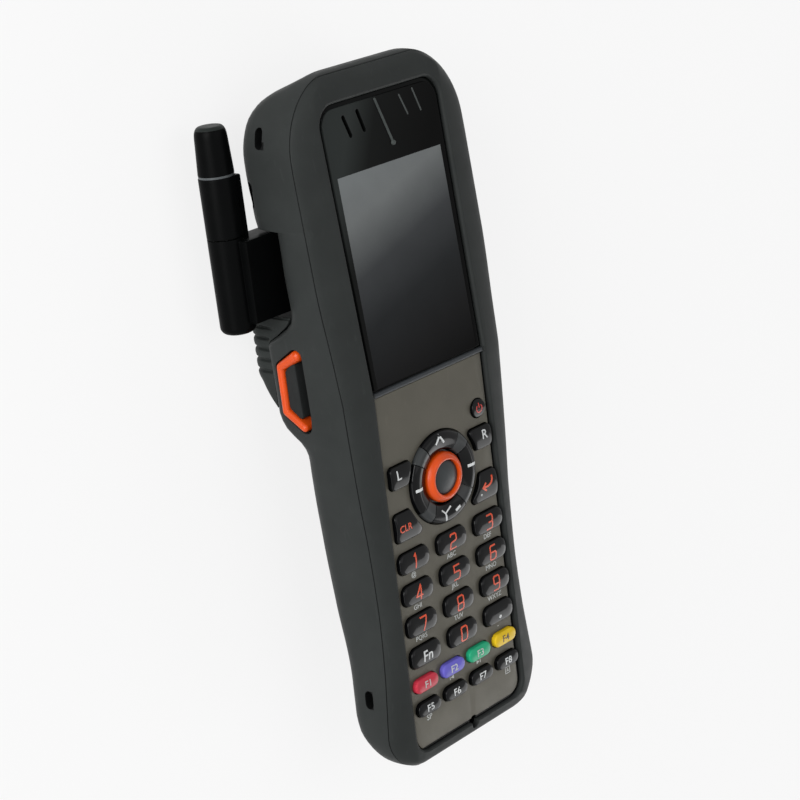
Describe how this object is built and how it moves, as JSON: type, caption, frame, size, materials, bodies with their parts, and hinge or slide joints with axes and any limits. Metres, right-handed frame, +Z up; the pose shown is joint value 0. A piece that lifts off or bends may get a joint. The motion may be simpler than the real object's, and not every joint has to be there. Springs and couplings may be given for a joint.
{
  "type": "portable barcode data terminal",
  "caption": "Portable barcode data terminal with a tilted display, keypad with cursor pad, side triggers, stub antenna and a ribbed grip hump on the back.",
  "frame": {"origin": "middle of the flat rest face on the back of the grip hump", "axes": "+Z up through the keypad (front face up), +Y along the device towards the scanning head, +X to the user's right"},
  "size_m": [0.0809, 0.1964, 0.0404],
  "materials": {
    "shell": "satin charcoal plastic",
    "grip": "soft charcoal elastomer",
    "plate": "metallic brown-grey lacquer",
    "panel": "hard-coated black panel",
    "screen": "grey liquid crystal display, off",
    "trim": "light grey moulding",
    "key": "polished black cap",
    "key_red": "tinted glossy cap",
    "key_violet": "tinted glossy cap",
    "key_green": "tinted glossy cap",
    "key_yellow": "tinted glossy cap",
    "orange": "glossy orange",
    "dome": "dark grey, smooth",
    "pad": "grey, fine matt",
    "dark_rubber": "matt",
    "board": "green solder mask",
    "antenna": "semi-gloss black",
    "band": "pale grey",
    "steel": "bright",
    "gold": "plated",
    "battery": "matt black",
    "lens": "frosted",
    "scan_glass": "dark red, clear"
  },
  "bodies": {
    "case": {"rear_case": "shell", "front_case": "shell", "case_gasket": "dark_rubber", "rear_grip": "grip", "battery_contacts": "gold", "display_window": "panel", "display_module": "screen", "seam_trim": "trim", "keypad_plate": "plate", "key_mat": "dark_rubber", "key_board": "board", "main_board": "board", "side_switches": "trim", "antenna_base": "antenna", "antenna_band": "band", "antenna_tip": "antenna", "scan_engine": "dark_rubber", "scan_window": "scan_glass", "speaker": "steel", "vibration_motor": "steel", "indicator_lenses": "lens", "case_screws": "steel", "dock_connector": "antenna"},
    "cover": {"battery_cover": "shell"},
    "battery": {"battery_pack": "battery"},
    "lock": {"cover_lock": "orange"},
    "left_trigger": {"left_trigger_pad": "pad", "left_trigger_rim": "orange"},
    "right_trigger": {"right_trigger_pad": "pad", "right_trigger_rim": "orange"},
    "rocker": {"cursor_rocker": "dark_rubber"},
    "cursor": {"cursor_ring": "key"},
    "enter": {"enter_button": "dome", "enter_ring": "orange"},
    "power_key": {"power_key": "key"},
    "left_key": {"left_key": "key"},
    "right_key": {"right_key": "key"},
    "clear_key": {"clear_key": "key"},
    "back_key": {"back_key": "key"},
    "key_1": {"key_1": "key"},
    "key_2": {"key_2": "key"},
    "key_3": {"key_3": "key"},
    "key_4": {"key_4": "key"},
    "key_5": {"key_5": "key"},
    "key_6": {"key_6": "key"},
    "key_7": {"key_7": "key"},
    "key_8": {"key_8": "key"},
    "key_9": {"key_9": "key"},
    "key_fn": {"key_fn": "key"},
    "key_0": {"key_0": "key"},
    "key_point": {"key_point": "key"},
    "key_f1": {"key_f1": "key_red"},
    "key_f2": {"key_f2": "key_violet"},
    "key_f3": {"key_f3": "key_green"},
    "key_f4": {"key_f4": "key_yellow"},
    "key_f5": {"key_f5": "key"},
    "key_f6": {"key_f6": "key"},
    "key_f7": {"key_f7": "key"},
    "key_f8": {"key_f8": "key"}
  },
  "joints": [
    {"name": "cover_off", "type": "slide", "parent": "case", "child": "cover", "axis": [0, 0, -1], "range_m": [0, 0.03]},
    {"name": "battery_out", "type": "slide", "parent": "case", "child": "battery", "axis": [0, 0, -1], "range_m": [0, 0.015]},
    {"name": "lock_slide", "type": "slide", "parent": "cover", "child": "lock", "axis": [1, 0, 0], "range_m": [-0.006, 0]},
    {"name": "left_trigger_press", "type": "slide", "parent": "case", "child": "left_trigger", "axis": [-1, 0, 0], "range_m": [-0.0012, 0], "stiffness_N_per_m": 150},
    {"name": "right_trigger_press", "type": "slide", "parent": "case", "child": "right_trigger", "axis": [1, 0, 0], "range_m": [-0.0012, 0], "stiffness_N_per_m": 150},
    {"name": "cursor_tilt_up_down", "type": "hinge", "parent": "case", "child": "rocker", "pos_m": [0, -0.0435, 0.03595], "axis": [1, 0, 0], "range_deg": [-2, 2], "stiffness_Nm_per_rad": 0.02},
    {"name": "cursor_tilt_left_right", "type": "hinge", "parent": "rocker", "child": "cursor", "pos_m": [0, -0.0435, 0.03595], "axis": [0, 1, 0], "range_deg": [-2, 2], "stiffness_Nm_per_rad": 0.02},
    {"name": "enter_press", "type": "slide", "parent": "case", "child": "enter", "axis": [0, 0, 1], "range_m": [-0.0008, 0], "stiffness_N_per_m": 80},
    {"name": "power_key_press", "type": "slide", "parent": "case", "child": "power_key", "axis": [0, 0, 1], "range_m": [-0.0008, 0], "stiffness_N_per_m": 60},
    {"name": "left_key_press", "type": "slide", "parent": "case", "child": "left_key", "axis": [0, 0, 1], "range_m": [-0.0008, 0], "stiffness_N_per_m": 60},
    {"name": "right_key_press", "type": "slide", "parent": "case", "child": "right_key", "axis": [0, 0, 1], "range_m": [-0.0008, 0], "stiffness_N_per_m": 60},
    {"name": "clear_key_press", "type": "slide", "parent": "case", "child": "clear_key", "axis": [0, 0, 1], "range_m": [-0.0008, 0], "stiffness_N_per_m": 60},
    {"name": "back_key_press", "type": "slide", "parent": "case", "child": "back_key", "axis": [0, 0, 1], "range_m": [-0.0008, 0], "stiffness_N_per_m": 60},
    {"name": "key_1_press", "type": "slide", "parent": "case", "child": "key_1", "axis": [0, 0, 1], "range_m": [-0.0008, 0], "stiffness_N_per_m": 60},
    {"name": "key_2_press", "type": "slide", "parent": "case", "child": "key_2", "axis": [0, 0, 1], "range_m": [-0.0008, 0], "stiffness_N_per_m": 60},
    {"name": "key_3_press", "type": "slide", "parent": "case", "child": "key_3", "axis": [0, 0, 1], "range_m": [-0.0008, 0], "stiffness_N_per_m": 60},
    {"name": "key_4_press", "type": "slide", "parent": "case", "child": "key_4", "axis": [0, 0, 1], "range_m": [-0.0008, 0], "stiffness_N_per_m": 60},
    {"name": "key_5_press", "type": "slide", "parent": "case", "child": "key_5", "axis": [0, 0, 1], "range_m": [-0.0008, 0], "stiffness_N_per_m": 60},
    {"name": "key_6_press", "type": "slide", "parent": "case", "child": "key_6", "axis": [0, 0, 1], "range_m": [-0.0008, 0], "stiffness_N_per_m": 60},
    {"name": "key_7_press", "type": "slide", "parent": "case", "child": "key_7", "axis": [0, 0, 1], "range_m": [-0.0008, 0], "stiffness_N_per_m": 60},
    {"name": "key_8_press", "type": "slide", "parent": "case", "child": "key_8", "axis": [0, 0, 1], "range_m": [-0.0008, 0], "stiffness_N_per_m": 60},
    {"name": "key_9_press", "type": "slide", "parent": "case", "child": "key_9", "axis": [0, 0, 1], "range_m": [-0.0008, 0], "stiffness_N_per_m": 60},
    {"name": "key_fn_press", "type": "slide", "parent": "case", "child": "key_fn", "axis": [0, 0, 1], "range_m": [-0.0008, 0], "stiffness_N_per_m": 60},
    {"name": "key_0_press", "type": "slide", "parent": "case", "child": "key_0", "axis": [0, 0, 1], "range_m": [-0.0008, 0], "stiffness_N_per_m": 60},
    {"name": "key_point_press", "type": "slide", "parent": "case", "child": "key_point", "axis": [0, 0, 1], "range_m": [-0.0008, 0], "stiffness_N_per_m": 60},
    {"name": "key_f1_press", "type": "slide", "parent": "case", "child": "key_f1", "axis": [0, 0, 1], "range_m": [-0.0008, 0], "stiffness_N_per_m": 60},
    {"name": "key_f2_press", "type": "slide", "parent": "case", "child": "key_f2", "axis": [0, 0, 1], "range_m": [-0.0008, 0], "stiffness_N_per_m": 60},
    {"name": "key_f3_press", "type": "slide", "parent": "case", "child": "key_f3", "axis": [0, 0, 1], "range_m": [-0.0008, 0], "stiffness_N_per_m": 60},
    {"name": "key_f4_press", "type": "slide", "parent": "case", "child": "key_f4", "axis": [0, 0, 1], "range_m": [-0.0008, 0], "stiffness_N_per_m": 60},
    {"name": "key_f5_press", "type": "slide", "parent": "case", "child": "key_f5", "axis": [0, 0, 1], "range_m": [-0.0008, 0], "stiffness_N_per_m": 60},
    {"name": "key_f6_press", "type": "slide", "parent": "case", "child": "key_f6", "axis": [0, 0, 1], "range_m": [-0.0008, 0], "stiffness_N_per_m": 60},
    {"name": "key_f7_press", "type": "slide", "parent": "case", "child": "key_f7", "axis": [0, 0, 1], "range_m": [-0.0008, 0], "stiffness_N_per_m": 60},
    {"name": "key_f8_press", "type": "slide", "parent": "case", "child": "key_f8", "axis": [0, 0, 1], "range_m": [-0.0008, 0], "stiffness_N_per_m": 60}
  ],
  "couplings": [
    {"joint": "battery_out", "follows": "cover_off", "ratio": 0.5}
  ]
}
